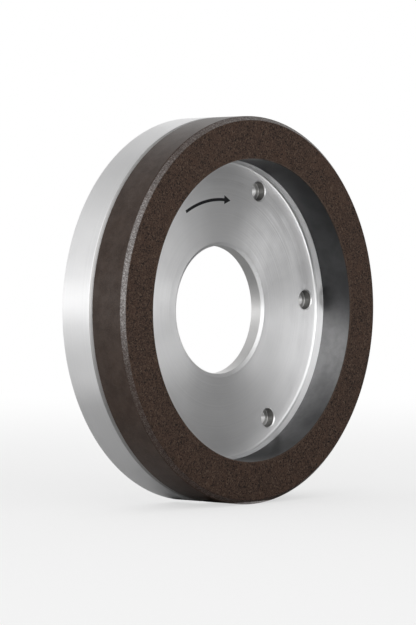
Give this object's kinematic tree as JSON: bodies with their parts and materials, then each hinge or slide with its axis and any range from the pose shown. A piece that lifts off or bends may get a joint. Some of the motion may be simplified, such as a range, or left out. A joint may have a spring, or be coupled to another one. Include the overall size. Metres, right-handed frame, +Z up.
{
  "type": "diamond grinding wheel",
  "caption": "Cup-shaped grinding wheel: turned aluminium body with a thin web, spindle bore and counterbored screw holes, carrying a resin-bonded diamond rim with a dark inner sleeve.",
  "frame": {"origin": "on the spindle axis, at the middle of the wheel's width", "axes": "+Y along the spindle axis towards the back of the wheel, so the working face looks along -Y; +Z up"},
  "size_m": [0.15, 0.032, 0.15],
  "materials": {
    "aluminium": "fine turned, satin",
    "resin_bond": "granular dressed face, smooth turned outside",
    "dark_steel": "turned satin, dark grey",
    "adhesive": "cured film"
  },
  "bodies": {
    "root": {"wheel_body": "aluminium", "diamond_rim": "resin_bond", "rim_sleeve": "dark_steel", "rim_adhesive": "adhesive"}
  },
  "joints": []
}
